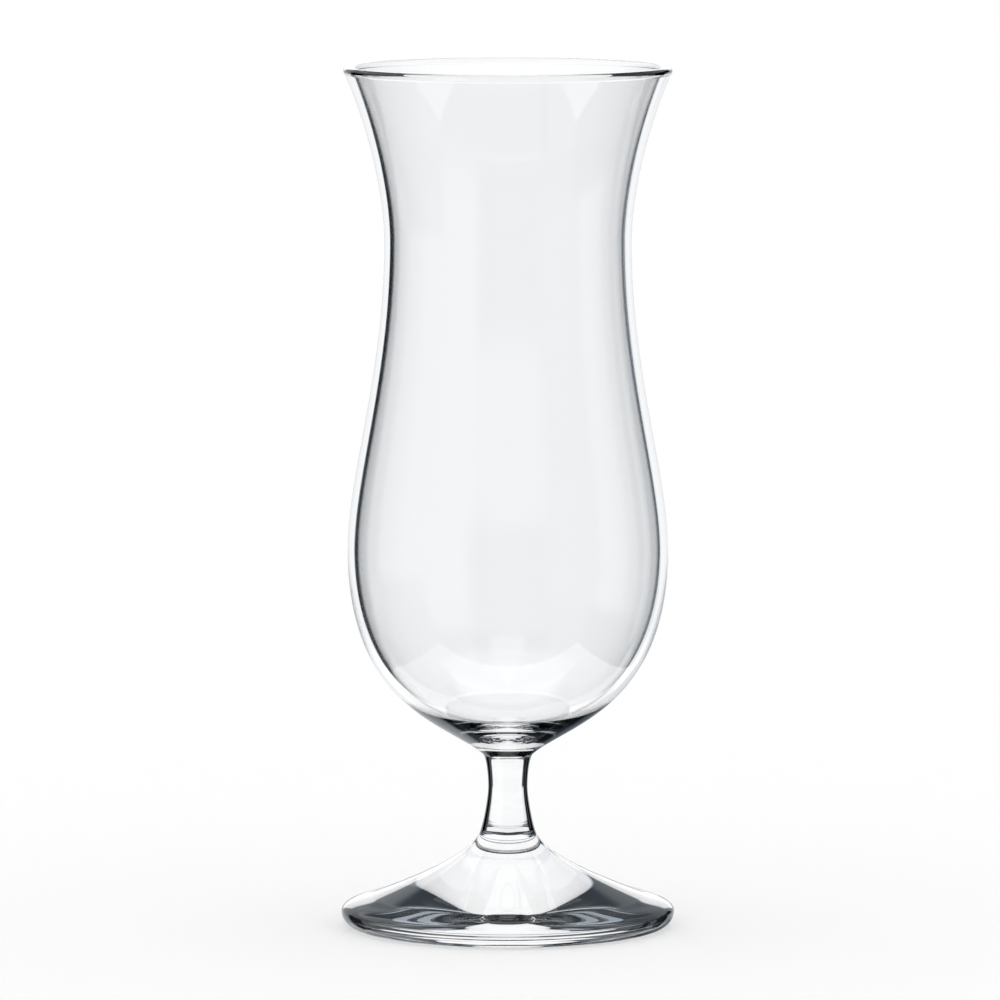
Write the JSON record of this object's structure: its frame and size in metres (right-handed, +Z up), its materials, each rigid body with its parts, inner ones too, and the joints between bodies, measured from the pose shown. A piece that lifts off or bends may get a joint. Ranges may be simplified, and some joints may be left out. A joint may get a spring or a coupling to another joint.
{
  "type": "hurricane glass",
  "caption": "Tall clear hurricane glass: flared mouth, narrow waist and full belly on a short stem, with a round sloping foot to stand on.",
  "frame": {"origin": "on the table, under the axis of the glass", "axes": "+Z up along the axis of the glass, from the foot to the mouth; the glass is round, so X and Y are free"},
  "size_m": [0.0812, 0.0812, 0.21],
  "materials": {
    "blown_glass": "clear, fire-polished",
    "drawn_glass": "clear, fire-polished",
    "pressed_glass": "clear, fire-polished, faintly rippled"
  },
  "bodies": {
    "root": {"bowl": "blown_glass", "stem": "drawn_glass", "foot": "pressed_glass"}
  },
  "joints": []
}
